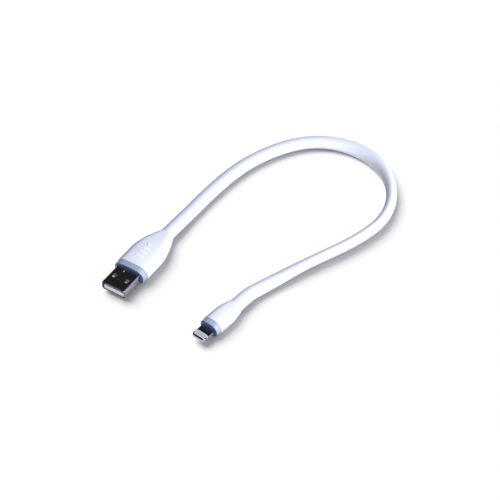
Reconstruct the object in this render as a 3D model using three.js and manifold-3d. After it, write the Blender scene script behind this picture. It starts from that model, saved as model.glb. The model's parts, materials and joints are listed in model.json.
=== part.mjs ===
// A short charging cable: a USB type A plug and a reversible eight-contact tab plug on one thick oval cord.
// Millimetres, +Z up, the table at z = 0. The type A plug lies along Y with its mouth facing -Y, and
// the origin is on the flat underside of its boot, on the plug's centreline.
// In a plug's own group y = 0 is the joint between collar and boot, with the mouth or tip on the -y side
// of it and the cord on the +y side.
import * as THREE from "three";
import { mergeVertices } from "three/addons/utils/BufferGeometryUtils.js";
import Module from "manifold-3d";

const wasm = await Module();
wasm.setup();

// ---- Driving dimensions ----
const fit = 0.06; // clearance round a piece that sits in another
const joint = 0.08; // gap between two faces that butt together inside a plug
const cordGap = 0.3; // gap between the cord's cut ends and the boots

const wires = [
  { name: "wire_power_red", width: 1.1, colour: 0xc23a38 },
  { name: "wire_data_white", width: 0.85, colour: 0xeceff2 },
  { name: "wire_data_green", width: 0.85, colour: 0x2f8f55 },
  { name: "wire_ground_black", width: 1.1, colour: 0x26262b },
];
const wireSpacing = 0.12; // between neighbours in the flat row
const wireSides = 8;
const wireTail = 0.6; // of straight wire at a type A contact
const core = { clear: 0.15, braidWall: 0.25, jacketClear: 0.15 };
const jacket = { sideWall: 0.72, topWall: 1.4, sides: 12 };

// The cord's centreline in plan, from the type A boot round the loop to the tab boot.
const route = [
  [0, 19.3], [0, 30], [0.1, 39], [0.3, 48], [0.8, 57], [1.7, 66], [3.4, 75.5],
  [6.2, 84.5], [10.1, 93], [15.4, 101.2], [22.2, 107.8], [30.6, 112.2], [39.8, 114],
  [49.4, 113], [58.2, 109.3], [65.8, 103.3], [71.6, 95.3], [74.9, 86.6], [75.7, 77.6],
  [74.3, 69.4], [71.9, 61.6], [68.9, 54], [65.5, 46.6], [62, 39.2], [58.8, 31.9],
  [55.9, 24.5], [53, 17], [50.7, 9.7], [49.48, -0.37],
];
const cordSteps = 56;
// The oval lies flat at both plugs and turns up on its edge round the loop: degrees gained between two
// distances along the cord.
const turns = [
  { from: 95, to: 150, by: 85 },
  { from: 150, to: 195, by: -25 },
  { from: 197, to: 243, by: -60 },
];
const dropLength = 22; // over which the cord comes down from a boot to the table

const usb = {
  shell: { width: 12, height: 4.5, wall: 0.3, corner: 0.7, exposed: 11.75, inside: 4, seamWidth: 0.12 },
  window: { width: 2.3, length: 2.1, fromTip: 4.6, apart: 6.2 },
  dimple: { radius: 0.55, depth: 0.12, fromTip: 9.7, offset: -0.9 },
  tongue: { thickness: 1.9, setBack: 0.45, length: 8.6 },
  contact: { width: 1, thickness: 0.24, setBack: 1, outerAt: 3.5, innerAt: 1, innerExtra: 1, tail: 2.2 },
  collar: { length: 3, sideRim: 1.75, topRim: 1.75, corner: 3.4, round: 0.5 },
  boot: { length: 26, grip: 9, sideStep: 0.45, topStep: 0.15, corner: 3.7, droop: 0.65 },
  mould: { length: 6, slotHeight: 1.9, slotCorner: 0.3 },
  mark: { height: 0.25, ribs: 4, pitch: 2.6, from: 5.4, longest: 4.8, shorterBy: 0.8, thick: 1 },
};

const tab = {
  heading: -7.5, // degrees that the plug is turned from the type A plug's direction
  contact: { width: 0.4, length: 2.1, thickness: 0.2, pitch: 0.63, count: 8 },
  pane: { sideMargin: 0.345, endMargin: 0.3, fromTip: 0.9, corner: 0.3 },
  blade: { rim: 0.6, thickness: 1.5, exposed: 7.2, inside: 3, corner: 1.3 },
  notch: { radius: 0.55, fromTip: 2.7, depth: 0.3 },
  board: { width: 5.3, thickness: 0.6, behindBlade: 4, pad: 1.1, partsBehindBlade: 1.4 },
  boardParts: [
    { name: "tab_control_chip", width: 2.4, length: 2.2, height: 0.5, x: -0.9, face: 1, colour: 0x202226 },
    { name: "tab_capacitor_1", width: 0.6, length: 1, height: 0.45, x: 1, face: 1, colour: 0xb7a183 },
    { name: "tab_capacitor_2", width: 0.6, length: 1, height: 0.45, x: 1.9, face: 1, colour: 0xb7a183 },
    { name: "tab_power_chip", width: 1.8, length: 1.4, height: 0.45, x: 0.4, face: -1, colour: 0x202226 },
  ],
  can: { sideRoom: 0.25, topRoom: 0.15, wall: 0.2, corner: 0.6, from: 0.3, length: 8.5 },
  collar: { length: 2.8, sideRim: 1.45, topRim: 2.6, corner: 2.9, round: 0.5 },
  boot: { length: 14.5, grip: 6.3, sideStep: 0.25, topStep: 0.15, corner: 3.1, droop: 0.1 },
  mould: { length: 1.4, slotHeight: 1.9, slotCorner: 0.3 },
};
const crimp = { wall: 0.35, usbLength: 3.7, tabLength: 2.5 };
const neckLip = 0.25; // how far a boot's end stands proud of the cord

// ---- Sizes that follow from them ----
const rowWidth = wires.reduce((sum, w) => sum + w.width, 0) + wireSpacing * (wires.length - 1);
const rowHeight = Math.max(...wires.map((w) => w.width));
const grow = (section, by) => ({ width: section.width + 2 * by, height: section.height + 2 * by });
const braidBore = grow({ width: rowWidth, height: rowHeight }, core.clear);
const braidOuter = grow(braidBore, core.braidWall);
const coreBore = grow(braidOuter, core.jacketClear);
const cord = {
  width: coreBore.width + 2 * jacket.sideWall,
  height: coreBore.height + 2 * jacket.topWall,
};
const neck = grow(cord, neckLip);
const crimpBore = grow(braidOuter, fit);
const crimpOuter = grow(crimpBore, crimp.wall);
const crimpPocket = grow(crimpOuter, fit);

const pane = {
  width: (tab.contact.count - 1) * tab.contact.pitch + tab.contact.width + 2 * tab.pane.sideMargin,
  length: tab.contact.length + 2 * tab.pane.endMargin,
};
const bladeWidth = pane.width + 2 * tab.blade.rim;

// ---- Materials ----
const finish = (color, roughness, metalness = 0) =>
  new THREE.MeshStandardMaterial({ color, roughness, metalness });
const whiteSoft = () => finish(0xf3f5fc, 0.55);
const collarGrey = () => finish(0x97a5c0, 0.45);
const steel = () => finish(0xb6b9c4, 0.22, 1);
const gold = () => finish(0xc9a55c, 0.3, 1);
const insulatorWhite = () => finish(0xe6ebf5, 0.4);

// ---- Shapes and solids ----
// A rounded rectangle's points, anticlockwise, with `cuts` segments to each corner.
function roundedPoints(width, height, corner, cuts = 3) {
  const r = Math.min(corner, 0.47 * width, 0.47 * height);
  const points = [];
  [[1, 1], [-1, 1], [-1, -1], [1, -1]].forEach(([sx, sy], quarter) => {
    for (let i = 0; i <= cuts; i++) {
      const angle = (quarter + i / cuts) * (Math.PI / 2);
      const x = sx * (width / 2 - r) + r * Math.cos(angle);
      const y = sy * (height / 2 - r) + r * Math.sin(angle);
      points.push(new THREE.Vector2(x, y));
    }
  });
  return points;
}

// A flat oval with round ends, as the cord's core has. Each flat side is halved, so that it can twist.
function stadium({ width, height }) {
  const points = roundedPoints(width, height, height / 2, 2);
  points.splice(9, 0, new THREE.Vector2(0, -height / 2));
  points.splice(3, 0, new THREE.Vector2(0, height / 2));
  return points;
}

function ovalPoints(width, height, sides, x = 0) {
  return Array.from({ length: sides }, (_, i) => {
    const angle = (2 * Math.PI * (i + 0.5)) / sides;
    return new THREE.Vector2(x + (width / 2) * Math.cos(angle), (height / 2) * Math.sin(angle));
  });
}

function shapeOf(points, hole) {
  const shape = new THREE.Shape(points);
  if (hole) shape.holes.push(new THREE.Path(hole));
  return shape;
}

// A section drawn in X and Z, extruded along Y from y0 to y1.
function barAlongY(shape, y0, y1, x = 0, z = 0) {
  const geometry = new THREE.ExtrudeGeometry(shape, { depth: y1 - y0, bevelEnabled: false });
  return geometry.rotateX(Math.PI / 2).translate(x, y1, z);
}

// A plan outline drawn in X and Y, extruded up from z0 to z1.
function slab(shape, z0, z1, x = 0, y = 0) {
  const geometry = new THREE.ExtrudeGeometry(shape, { depth: z1 - z0, bevelEnabled: false });
  return geometry.translate(x, y, z0);
}

function block(width, y0, y1, z0, z1, x = 0) {
  const geometry = new THREE.BoxGeometry(width, y1 - y0, z1 - z0);
  return geometry.translate(x, (y0 + y1) / 2, (z0 + z1) / 2);
}

// A closed skin over rings of equal point counts, each a rounded section at its own y and lift.
function loft(sections, z) {
  const rings = sections.map(({ width, height, corner, y, lift = 0 }) =>
    roundedPoints(width, height, corner, 4).map((p) => [p.x, y, z + lift + p.y]),
  );
  const count = rings[0].length;
  const ends = [sections[0], sections.at(-1)].map(({ y, lift = 0 }) => [0, y, z + lift]);
  const corners = [...rings.flat(), ...ends];
  const front = rings.length * count;
  const index = [];
  for (let i = 0; i < count; i++) {
    const next = (i + 1) % count;
    for (let r = 0; r + 1 < rings.length; r++) {
      const [a, b, c, d] = [r * count + i, r * count + next, (r + 1) * count + i, (r + 1) * count + next];
      index.push(a, d, b, a, c, d);
    }
    const last = (rings.length - 1) * count;
    index.push(front, i, next, front + 1, last + next, last + i);
  }
  const geometry = new THREE.BufferGeometry();
  geometry.setAttribute("position", new THREE.Float32BufferAttribute(corners.flat(), 3));
  geometry.setIndex(index);
  return geometry;
}

function toSolid(geometry) {
  const plain = new THREE.BufferGeometry();
  plain.setAttribute("position", geometry.getAttribute("position"));
  if (geometry.index) plain.setIndex(geometry.index);
  const merged = mergeVertices(plain, 1e-4);
  return new wasm.Manifold(
    new wasm.Mesh({
      numProp: 3,
      vertProperties: new Float32Array(merged.attributes.position.array),
      triVerts: new Uint32Array(merged.index.array),
    }),
  );
}

function toGeometry(solid) {
  const mesh = solid.getMesh();
  const geometry = new THREE.BufferGeometry();
  geometry.setAttribute("position", new THREE.BufferAttribute(new Float32Array(mesh.vertProperties), 3));
  geometry.setIndex(new THREE.BufferAttribute(new Uint32Array(mesh.triVerts), 1));
  geometry.computeVertexNormals();
  return geometry;
}

const cut = (geometry, ...tools) =>
  toGeometry(tools.reduce((solid, tool) => solid.subtract(toSolid(tool)), toSolid(geometry)));
const join = (geometry, ...others) =>
  toGeometry(others.reduce((solid, other) => solid.add(toSolid(other)), toSolid(geometry)));

function add(group, name, geometry, material) {
  const mesh = new THREE.Mesh(geometry, material);
  mesh.name = name;
  group.add(mesh);
}

// ---- The cord's path ----
const smoothGain = (x, { from, to, by }) => by * THREE.MathUtils.smoothstep(x, from, to);

// One station of a sweep: a point and the section's two directions there. Side x up is the way of travel.
function station(point, travel, rollDegrees) {
  const level = new THREE.Vector3(-travel.y, travel.x, 0).normalize();
  const up = new THREE.Vector3().crossVectors(travel, level).normalize();
  const roll = THREE.MathUtils.degToRad(rollDegrees);
  return {
    point,
    side: level.clone().multiplyScalar(Math.cos(roll)).addScaledVector(up, Math.sin(roll)),
    up: up.clone().multiplyScalar(Math.cos(roll)).addScaledVector(level, -Math.sin(roll)),
  };
}

// The height of the cord's centre when its oval rests on the table at this roll.
function restHeight(rollDegrees) {
  const roll = THREE.MathUtils.degToRad(rollDegrees);
  return Math.hypot((cord.width / 2) * Math.sin(roll), (cord.height / 2) * Math.cos(roll));
}

function cordStations(startHeight, endHeight) {
  const plan = new THREE.CatmullRomCurve3(route.map(([x, y]) => new THREE.Vector3(x, y, 0)));
  plan.arcLengthDivisions = 2000;
  const length = plan.getLength();
  const points = [];
  const rolls = [];
  for (let i = 0; i <= cordSteps; i++) {
    const run = (length * i) / cordSteps;
    const roll = turns.reduce((sum, turn) => sum + smoothGain(run, turn), 0);
    const rest = restHeight(roll);
    const fromStart = 1 - THREE.MathUtils.smoothstep(run, 0, dropLength);
    const fromEnd = 1 - THREE.MathUtils.smoothstep(length - run, 0, dropLength);
    const point = plan.getPointAt(i / cordSteps);
    point.z = rest + (startHeight - rest) * fromStart + (endHeight - rest) * fromEnd;
    points.push(point);
    rolls.push(roll);
  }
  return points.map((point, i) => {
    const travel = plan.getTangentAt(i / cordSteps);
    return station(point, travel.setZ(0).normalize(), rolls[i]);
  });
}

// A path that is its stations, so that nested pieces share their rings.
class Stations extends THREE.Curve {
  constructor(list) {
    super();
    this.list = list;
  }
  getSpacedPoints() {
    return this.list.map((s) => s.point);
  }
  computeFrenetFrames() {
    return {
      tangents: this.list.map((s) => new THREE.Vector3().crossVectors(s.side, s.up)),
      normals: this.list.map((s) => s.side),
      binormals: this.list.map((s) => s.up),
    };
  }
}

function sweep(list, shape) {
  return new THREE.ExtrudeGeometry(shape, {
    steps: list.length - 1,
    bevelEnabled: false,
    extrudePath: new Stations(list),
  });
}

// ---- Boots and collars ----
// The boot keeps its full section along the grip, then narrows more and more quickly to the neck,
// where it meets the cord at an angle, and droops a little under its own softness.
function bootSections(boot, full) {
  const steps = 8;
  const sections = [0, boot.grip / 2, boot.grip].map((y) => ({ ...full, corner: boot.corner, y }));
  for (let i = 1; i <= steps; i++) {
    const share = 1 - Math.cos((Math.PI * i) / (2 * steps));
    sections.push({
      lift: -boot.droop * share,
      y: boot.grip + ((boot.length - boot.grip) * i) / steps,
      width: THREE.MathUtils.lerp(full.width, neck.width, share),
      height: THREE.MathUtils.lerp(full.height, neck.height, share),
      corner: THREE.MathUtils.lerp(boot.corner, neck.height / 2, share),
    });
  }
  return sections;
}

// The room that a boot leaves for the crimp, and behind it for the cord's core on its way down.
function cordHollows(boot, leanFrom, axis) {
  const slope = -boot.droop / (boot.length + cordGap - leanFrom);
  const lean = new THREE.Matrix4().set(1, 0, 0, 0, 0, 1, 0, 0, 0, slope, 1, -slope * leanFrom, 0, 0, 0, 1);
  return [
    barAlongY(shapeOf(stadium(crimpPocket)), 0, leanFrom, 0, axis),
    barAlongY(shapeOf(stadium(coreBore)), leanFrom - joint, boot.length + 1, 0, axis).applyMatrix4(lean),
  ];
}

function collarGeometry(collar, outer, opening, openingCorner, z) {
  const front = -collar.length;
  const at = (y, inset) => ({
    y,
    width: outer.width - 2 * inset,
    height: outer.height - 2 * inset,
    corner: collar.corner - inset,
  });
  const body = loft(
    [
      at(front, collar.round),
      at(front + 0.3 * collar.round, 0.3 * collar.round),
      at(front + collar.round, 0),
      at(-joint, 0),
    ],
    z,
  );
  const hole = shapeOf(roundedPoints(opening.width, opening.height, openingCorner));
  return cut(body, barAlongY(hole, front - 1, 1, 0, z));
}

// ---- USB type A plug ----
function usbPlug(axis) {
  const group = new THREE.Group();
  const { shell, window: latch, dimple, tongue, contact, collar, boot, mould, mark } = usb;
  const tip = -collar.length - shell.exposed;
  const inner = grow(shell, -shell.wall);
  const innerCorner = shell.corner - shell.wall;

  const tube = shapeOf(
    roundedPoints(shell.width, shell.height, shell.corner),
    roundedPoints(inner.width, inner.height, innerCorner).reverse(),
  );
  const latchY = tip + latch.fromTip;
  const through = [axis - shell.height, axis + shell.height];
  const latches = [-1, 1].map((side) =>
    block(latch.width, latchY, latchY + latch.length, ...through, (side * latch.apart) / 2),
  );
  const seam = block(shell.seamWidth, tip - 1, shell.inside + 1, axis - shell.height, axis);
  const dent = new THREE.CylinderGeometry(dimple.radius, 0.6 * dimple.radius, 2 * dimple.depth, 12)
    .rotateX(Math.PI / 2)
    .translate(dimple.offset, tip + dimple.fromTip, axis + shell.height / 2);
  const sleeve = barAlongY(tube, tip, shell.inside, 0, axis);
  add(group, "usb_shell", cut(sleeve, ...latches, seam, dent), steel());

  // The insulator: a tongue in the lower half of the mouth, and behind it a block that fills the shell.
  const seat = { width: inner.width - 2 * fit, height: inner.height - 2 * fit };
  const floor = axis - seat.height / 2;
  const tongueTop = floor + tongue.thickness;
  const tongueFront = tip + tongue.setBack;
  const blockFront = tongueFront + tongue.length;
  const blockRear = shell.inside - joint;
  const seatShape = shapeOf(roundedPoints(seat.width, seat.height, innerCorner));
  const rear = barAlongY(seatShape, blockFront, blockRear, 0, axis);
  const blade = block(seat.width - 2 * innerCorner, tongueFront, blockFront + 1, floor, tongueTop);
  const contactPlaces = [
    { name: "usb_contact_1", x: contact.outerAt, setBack: contact.setBack },
    { name: "usb_contact_2", x: contact.innerAt, setBack: contact.setBack + contact.innerExtra },
    { name: "usb_contact_3", x: -contact.innerAt, setBack: contact.setBack + contact.innerExtra },
    { name: "usb_contact_4", x: -contact.outerAt, setBack: contact.setBack },
  ];
  const contactTop = tongueTop + 0.5 * contact.thickness;
  const contactFloor = contactTop - contact.thickness;
  const grooves = contactPlaces.map(({ x, setBack }) =>
    block(
      contact.width + 2 * fit,
      tongueFront + setBack - fit,
      blockRear + 1,
      contactFloor - fit,
      contactTop + fit,
      x,
    ),
  );
  add(group, "usb_insulator", cut(join(rear, blade), ...grooves), insulatorWhite());
  contactPlaces.forEach(({ name, x, setBack }) => {
    const front = tongueFront + setBack;
    const strip = block(contact.width, front, blockRear + contact.tail, contactFloor, contactTop, x);
    add(group, name, strip, gold());
  });

  const collarOuter = {
    width: shell.width + 2 * collar.sideRim,
    height: shell.height + 2 * collar.topRim,
  };
  const collarBody = collarGeometry(collar, collarOuter, grow(shell, fit), shell.corner + fit, axis);
  add(group, "usb_collar", collarBody, collarGrey());

  // Behind the shell: the inner mould round the solder tails, then the crimp on the braid.
  const pocket = grow(shell, 2 * fit);
  const mouldFrom = shell.inside + joint;
  const mouldTo = mouldFrom + mould.length;
  const slotWidth = 2 * contact.outerAt + contact.width + 4 * fit + rowHeight;
  const slot = roundedPoints(slotWidth, mould.slotHeight, mould.slotCorner).reverse();
  const mouldShape = shapeOf(roundedPoints(shell.width, shell.height, shell.corner), slot);
  add(group, "usb_inner_mould", barAlongY(mouldShape, mouldFrom, mouldTo, 0, axis), finish(0xd9dde6, 0.6));

  const crimpFrom = mouldTo + joint + fit;
  const crimpTo = crimpFrom + crimp.usbLength;
  const leanFrom = crimpTo + joint;
  const crimpShape = shapeOf(stadium(crimpOuter), stadium(crimpBore).reverse());
  add(group, "usb_crimp_ferrule", barAlongY(crimpShape, crimpFrom, crimpTo, 0, axis), steel());

  const full = {
    width: collarOuter.width + 2 * boot.sideStep,
    height: collarOuter.height + 2 * boot.topStep,
  };
  const ribs = Array.from({ length: mark.ribs }, (_, i) => {
    const plan = shapeOf(roundedPoints(mark.longest - i * mark.shorterBy, mark.thick, mark.thick / 2, 4));
    const top = axis + full.height / 2;
    return slab(plan, top - 3 * mark.height, top + mark.height, 0, mark.from + i * mark.pitch);
  });
  const pocketShape = shapeOf(roundedPoints(pocket.width, pocket.height, shell.corner));
  const hollows = [
    barAlongY(pocketShape, -1, mouldTo + joint, 0, axis),
    ...cordHollows(boot, leanFrom, axis),
  ];
  const skin = join(loft(bootSections(boot, full), axis), ...ribs);
  add(group, "usb_boot", cut(skin, ...hollows), whiteSoft());

  const solderAt = blockRear + contact.tail + joint;
  return { group, crimpFrom, leanFrom, solderAt, pads: contactPlaces.map((c) => c.x) };
}

// ---- Reversible tab plug ----
function tabPlug(axis) {
  const group = new THREE.Group();
  const { blade, notch, contact, board, can, collar, boot, mould } = tab;
  const tip = -collar.length - blade.exposed;

  // The steel blade: a plate with a rounded tip, a window for the contacts and a slot for the board.
  const half = bladeWidth / 2;
  const outline = new THREE.Shape()
    .moveTo(-half, blade.inside)
    .lineTo(-half, tip + blade.corner)
    .absarc(-half + blade.corner, tip + blade.corner, blade.corner, Math.PI, 1.5 * Math.PI)
    .absarc(half - blade.corner, tip + blade.corner, blade.corner, 1.5 * Math.PI, 2 * Math.PI)
    .lineTo(half, blade.inside);
  const plateOptions = { depth: blade.thickness, bevelEnabled: false, curveSegments: 6 };
  const plate = new THREE.ExtrudeGeometry(outline, plateOptions);
  plate.translate(0, 0, axis - blade.thickness / 2);
  const paneY = tip + tab.pane.fromTip + pane.length / 2;
  const paneHole = shapeOf(roundedPoints(pane.width, pane.length, tab.pane.corner));
  const window = slab(paneHole, axis - blade.thickness, axis + blade.thickness, 0, paneY);
  const boardSpace = grow({ width: board.width, height: board.thickness }, fit);
  const boardFront = tip + tab.pane.fromTip + pane.length;
  const slot = block(
    boardSpace.width,
    boardFront - fit,
    blade.inside + 1,
    axis - boardSpace.height / 2,
    axis + boardSpace.height / 2,
  );
  const notches = [-1, 1].map((side) =>
    new THREE.CylinderGeometry(notch.radius, notch.radius, 2 * blade.thickness, 12)
      .rotateX(Math.PI / 2)
      .translate(side * (half + notch.radius - notch.depth), tip + notch.fromTip, axis),
  );
  add(group, "tab_blade", cut(plate, window, slot, ...notches), steel());

  // The contact carrier fills the window, with a pocket for each contact on both faces.
  const carrierShape = shapeOf(roundedPoints(pane.width - 2 * fit, pane.length - 2 * fit, tab.pane.corner));
  const top = axis + blade.thickness / 2;
  const bottom = axis - blade.thickness / 2;
  const topSeat = top - contact.thickness;
  const underSeat = bottom + contact.thickness;
  const span = [paneY - contact.length / 2, paneY + contact.length / 2];
  const pocketSpan = [span[0] - fit, span[1] + fit];
  const pocketWidth = contact.width + 2 * fit;
  const pockets = [];
  for (let i = 0; i < contact.count; i++) {
    const x = (i - (contact.count - 1) / 2) * contact.pitch;
    pockets.push(block(pocketWidth, ...pocketSpan, topSeat - fit, top + 1, x));
    pockets.push(block(pocketWidth, ...pocketSpan, bottom - 1, underSeat + fit, x));
    const upper = block(contact.width, ...span, topSeat, top, x);
    const under = block(contact.width, ...span, bottom, underSeat, x);
    add(group, `tab_contact_top_${i + 1}`, upper, finish(0xa9adb8, 0.3, 1));
    add(group, `tab_contact_under_${i + 1}`, under, finish(0xa9adb8, 0.3, 1));
  }
  const carrier = slab(carrierShape, bottom, top, 0, paneY);
  add(group, "tab_contact_carrier", cut(carrier, ...pockets), insulatorWhite());

  // The control board runs from the window back through the blade, with its chips inside the shield can.
  const boardRear = blade.inside + board.behindBlade;
  const boardTop = axis + board.thickness / 2;
  const boardUnder = axis - board.thickness / 2;
  const boardSolid = block(board.width, boardFront + joint, boardRear, boardUnder, boardTop);
  add(group, "tab_board", boardSolid, finish(0x2c6b4a, 0.5));
  const partsY = blade.inside + board.partsBehindBlade;
  tab.boardParts.forEach(({ name, width, length, height, x, face, colour }) => {
    const near = face > 0 ? boardTop + fit / 2 : boardUnder - fit / 2 - height;
    const body = block(width, partsY - length / 2, partsY + length / 2, near, near + height, x);
    add(group, name, body, finish(colour, 0.45));
  });

  const canInner = {
    width: bladeWidth + 2 * can.sideRoom,
    height: board.thickness + 2 * (rowHeight + can.topRoom),
  };
  const canOuter = grow(canInner, can.wall);
  const canTo = can.from + can.length;
  const canShape = shapeOf(
    roundedPoints(canOuter.width, canOuter.height, can.corner),
    roundedPoints(canInner.width, canInner.height, can.corner - can.wall).reverse(),
  );
  add(group, "tab_shield_can", barAlongY(canShape, can.from, canTo, 0, axis), steel());

  const collarOuter = {
    width: bladeWidth + 2 * collar.sideRim,
    height: blade.thickness + 2 * collar.topRim,
  };
  const opening = grow({ width: bladeWidth, height: blade.thickness }, fit);
  add(group, "tab_collar", collarGeometry(collar, collarOuter, opening, 0.2, axis), collarGrey());

  const mouldFrom = canTo + joint;
  const mouldTo = mouldFrom + mould.length;
  const mouldShape = shapeOf(
    roundedPoints(canOuter.width, canOuter.height, can.corner),
    roundedPoints(board.width, mould.slotHeight, mould.slotCorner).reverse(),
  );
  add(group, "tab_inner_mould", barAlongY(mouldShape, mouldFrom, mouldTo, 0, axis), finish(0xd9dde6, 0.6));

  const crimpFrom = mouldTo + joint + fit;
  const crimpTo = crimpFrom + crimp.tabLength;
  const leanFrom = crimpTo + joint;
  const crimpShape = shapeOf(stadium(crimpOuter), stadium(crimpBore).reverse());
  add(group, "tab_crimp_ferrule", barAlongY(crimpShape, crimpFrom, crimpTo, 0, axis), steel());

  const full = {
    width: collarOuter.width + 2 * boot.sideStep,
    height: collarOuter.height + 2 * boot.topStep,
  };
  const pocket = grow(canOuter, fit);
  const pocketShape = shapeOf(roundedPoints(pocket.width, pocket.height, can.corner + fit));
  const hollows = [
    barAlongY(pocketShape, -1, mouldTo + joint, 0, axis),
    ...cordHollows(boot, leanFrom, axis),
  ];
  add(group, "tab_boot", cut(loft(bootSections(boot, full), axis), ...hollows), whiteSoft());

  const padPitch = (board.width - rowHeight) / (wires.length - 1);
  return {
    group,
    crimpFrom,
    leanFrom,
    fanFrom: canTo,
    solderAt: boardRear - board.pad,
    solderRear: boardRear + fit,
    solderRise: board.thickness / 2 + rowHeight / 2 + fit,
    pads: wires.map((_, i) => (i - (wires.length - 1) / 2) * padPitch),
  };
}

// ---- Assembly ----
const cable = new THREE.Group();
const usbAxis = (usb.shell.height + 2 * usb.collar.topRim + 2 * usb.boot.topStep) / 2;
const tabAxis = (tab.blade.thickness + 2 * tab.collar.topRim + 2 * tab.boot.topStep) / 2;
const usbEnd = usbPlug(usbAxis);
const tabEnd = tabPlug(tabAxis);

// Each plug stands on its cord end, so the cord keeps its route whatever the plug's length.
const [startX, startY] = route[0];
usbEnd.group.position.set(startX, startY - cordGap - usb.boot.length, 0);
const [endX, endY] = route.at(-1);
const tabTurn = THREE.MathUtils.degToRad(tab.heading);
const tabRear = new THREE.Vector3(-Math.sin(tabTurn), Math.cos(tabTurn), 0);
tabEnd.group.rotation.z = tabTurn;
tabEnd.group.position.set(endX, endY, 0).addScaledVector(tabRear, -cordGap - tab.boot.length);
cable.add(usbEnd.group, tabEnd.group);
cable.updateMatrixWorld(true);

// A place in a plug's own frame, as a station of the cord.
const usbTravel = new THREE.Vector3(0, 1, 0);
const tabTravel = tabRear.clone().negate();
const inUsb = (x, y, z) => station(usbEnd.group.localToWorld(new THREE.Vector3(x, y, z)), usbTravel, 0);
const inTab = (x, y, z) => station(tabEnd.group.localToWorld(new THREE.Vector3(x, y, z)), tabTravel, 0);

const cordPath = cordStations(usbAxis - usb.boot.droop, tabAxis - tab.boot.droop);
const corePath = [
  inUsb(0, usbEnd.crimpFrom + fit, usbAxis),
  inUsb(0, usbEnd.leanFrom, usbAxis),
  ...cordPath,
  inTab(0, tabEnd.leanFrom, tabAxis),
  inTab(0, tabEnd.crimpFrom + fit, tabAxis),
];

const jacketShape = shapeOf(ovalPoints(cord.width, cord.height, jacket.sides), stadium(coreBore).reverse());
add(cable, "cord_jacket", sweep(cordPath, jacketShape), whiteSoft());
const braidShape = shapeOf(stadium(braidOuter), stadium(braidBore).reverse());
add(cable, "cord_braid", sweep(corePath, braidShape), finish(0x9a9ea8, 0.35, 1));

// The wires lie side by side in the braid and fan out to their solder pads in both plugs.
const rowPath = [...corePath, inTab(0, tabEnd.fanFrom, tabAxis)];
let edge = -rowWidth / 2;
wires.forEach((wire, i) => {
  const across = edge + wire.width / 2;
  edge += wire.width + wireSpacing;
  const inRow = rowPath.map((s) => ({ ...s, point: s.point.clone().addScaledVector(s.side, across) }));
  // A station's side points left along the travel: towards -X at the type A plug and +x at the tab plug.
  const usbPad = usbEnd.pads[i];
  const tabPad = tabEnd.pads[i];
  const path = [
    inUsb(usbPad, usbEnd.solderAt, usbAxis),
    inUsb(usbPad, usbEnd.solderAt + wireTail, usbAxis),
    ...inRow,
    inTab(tabPad, tabEnd.solderRear, tabAxis + tabEnd.solderRise),
    inTab(tabPad, tabEnd.solderAt, tabAxis + tabEnd.solderRise),
  ];
  const section = shapeOf(ovalPoints(wire.width, wire.width, wireSides));
  add(cable, wire.name, sweep(path, section), finish(wire.colour, 0.5));
});

export default cable;
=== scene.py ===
import json
import math

import bmesh
import bpy
from mathutils import Matrix, Vector


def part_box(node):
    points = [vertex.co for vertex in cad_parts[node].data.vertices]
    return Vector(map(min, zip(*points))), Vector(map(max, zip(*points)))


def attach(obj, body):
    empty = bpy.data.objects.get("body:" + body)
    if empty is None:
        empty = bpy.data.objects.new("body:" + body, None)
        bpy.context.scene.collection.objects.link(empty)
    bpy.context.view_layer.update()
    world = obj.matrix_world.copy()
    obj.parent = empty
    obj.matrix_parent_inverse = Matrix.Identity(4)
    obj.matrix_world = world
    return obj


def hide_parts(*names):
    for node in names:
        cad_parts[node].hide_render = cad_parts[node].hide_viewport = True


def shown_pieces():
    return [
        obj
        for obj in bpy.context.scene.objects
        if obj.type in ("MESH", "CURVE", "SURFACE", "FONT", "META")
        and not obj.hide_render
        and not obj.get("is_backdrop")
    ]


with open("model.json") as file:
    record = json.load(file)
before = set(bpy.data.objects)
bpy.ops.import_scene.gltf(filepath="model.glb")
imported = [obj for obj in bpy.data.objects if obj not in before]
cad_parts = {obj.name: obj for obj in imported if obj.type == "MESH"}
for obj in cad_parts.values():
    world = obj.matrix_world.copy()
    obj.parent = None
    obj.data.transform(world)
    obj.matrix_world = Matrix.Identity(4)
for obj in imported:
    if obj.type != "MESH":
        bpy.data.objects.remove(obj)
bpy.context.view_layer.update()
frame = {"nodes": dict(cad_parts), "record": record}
mm = 0.001
print("frame loaded:", len(frame["nodes"]), "nodes")

# camera
shot = {
    "azimuth": 33,  # degrees; 0 looks along +Y
    "elevation": 45.5,
    "distance": 0.929,
    "target": (0.0344, 0.0344, 0),
    "lens": 150,
    "sensor": 36,
}


def lookFrom(azimuth, elevation):
    # unit vector from the table towards a viewer at this azimuth and elevation
    a, e = math.radians(azimuth), math.radians(elevation)
    return Vector((math.sin(a) * math.cos(e), -math.cos(a) * math.cos(e), math.sin(e)))


cameraData = bpy.data.cameras.new("camera")
cameraData.lens = shot["lens"]
cameraData.sensor_width = shot["sensor"]
cameraData.clip_start, cameraData.clip_end = 0.05, 20
camera = bpy.data.objects.new("camera", cameraData)
toCamera = lookFrom(shot["azimuth"], shot["elevation"])
camera.location = Vector(shot["target"]) + toCamera * shot["distance"]
camera.rotation_euler = (-toCamera).to_track_quat("-Z", "Y").to_euler()
bpy.context.collection.objects.link(camera)
bpy.context.scene.camera = camera
print("camera placed")


def linearOf(hexCode):
    # sRGB hex to linear RGBA
    parts = [int(hexCode[i : i + 2], 16) / 255 for i in (1, 3, 5)]
    return [c / 12.92 if c <= 0.04045 else ((c + 0.055) / 1.055) ** 2.4 for c in parts] + [1]


def addNode(tree, kind, settings=None, values=None, links=None):
    # one node: its properties, its socket values, and sockets fed from other nodes
    node = tree.nodes.new(kind)
    for key, value in (settings or {}).items():
        setattr(node, key, value)
    for key, value in (values or {}).items():
        node.inputs[key].default_value = value
    for key, source in (links or {}).items():
        tree.links.new(source, node.inputs[key])
    return node


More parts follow.
